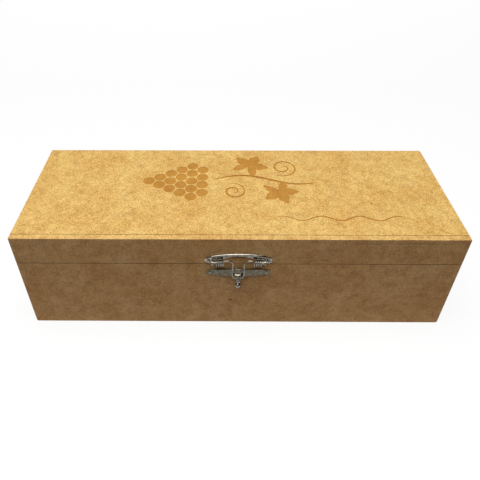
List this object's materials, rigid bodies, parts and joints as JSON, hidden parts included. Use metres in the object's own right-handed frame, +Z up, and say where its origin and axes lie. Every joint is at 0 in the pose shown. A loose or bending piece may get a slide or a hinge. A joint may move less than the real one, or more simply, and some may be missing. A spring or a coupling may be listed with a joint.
{
  "type": "lidded bottle box",
  "caption": "Long fibreboard box for a bottle lying down, with a lid hinged at the back and a sprung wire latch at the front.",
  "frame": {"origin": "centre of the underside", "axes": "+X along the long side to the right as seen from the latch, -Y out of the front with the latch, +Z up"},
  "size_m": [0.35, 0.1303, 0.1],
  "materials": {
    "fibreboard": "raw sanded medium-density fibreboard",
    "bright_plating": "bright plated thin steel sheet and wire",
    "nickel": "nickel plated steel"
  },
  "bodies": {
    "base": {"base_bottom": "fibreboard", "base_front": "fibreboard", "base_back": "fibreboard", "base_left_end": "fibreboard", "base_right_end": "fibreboard", "body_rest": "fibreboard", "neck_rest": "fibreboard", "catch_plate": "bright_plating", "catch_plate_nails": "nickel", "left_hinge_base_leaf": "nickel", "left_hinge_pin": "nickel", "left_hinge_base_nails": "nickel", "right_hinge_base_leaf": "nickel", "right_hinge_pin": "nickel", "right_hinge_base_nails": "nickel"},
    "lid": {"lid_top": "fibreboard", "lid_front": "fibreboard", "lid_back": "fibreboard", "lid_left_end": "fibreboard", "lid_right_end": "fibreboard", "latch_plate": "bright_plating", "latch_plate_nails": "nickel", "coil_pins": "nickel", "left_hinge_lid_leaf": "nickel", "left_hinge_lid_nails": "nickel", "right_hinge_lid_leaf": "nickel", "right_hinge_lid_nails": "nickel"},
    "bail": {"spring_bail": "bright_plating", "bail_knob": "bright_plating"}
  },
  "joints": [
    {"name": "lid_hinge", "type": "hinge", "parent": "base", "child": "lid", "pos_m": [0, 0.062, 0.0735], "axis": [-1, 0, 0], "range_deg": [0, 180]},
    {"name": "latch_swing", "type": "hinge", "parent": "lid", "child": "bail", "pos_m": [0, -0.06365, 0.07825], "axis": [-1, 0, 0], "range_deg": [0, 170], "stiffness_Nm_per_rad": 0.005, "springref_deg": -28.65}
  ]
}
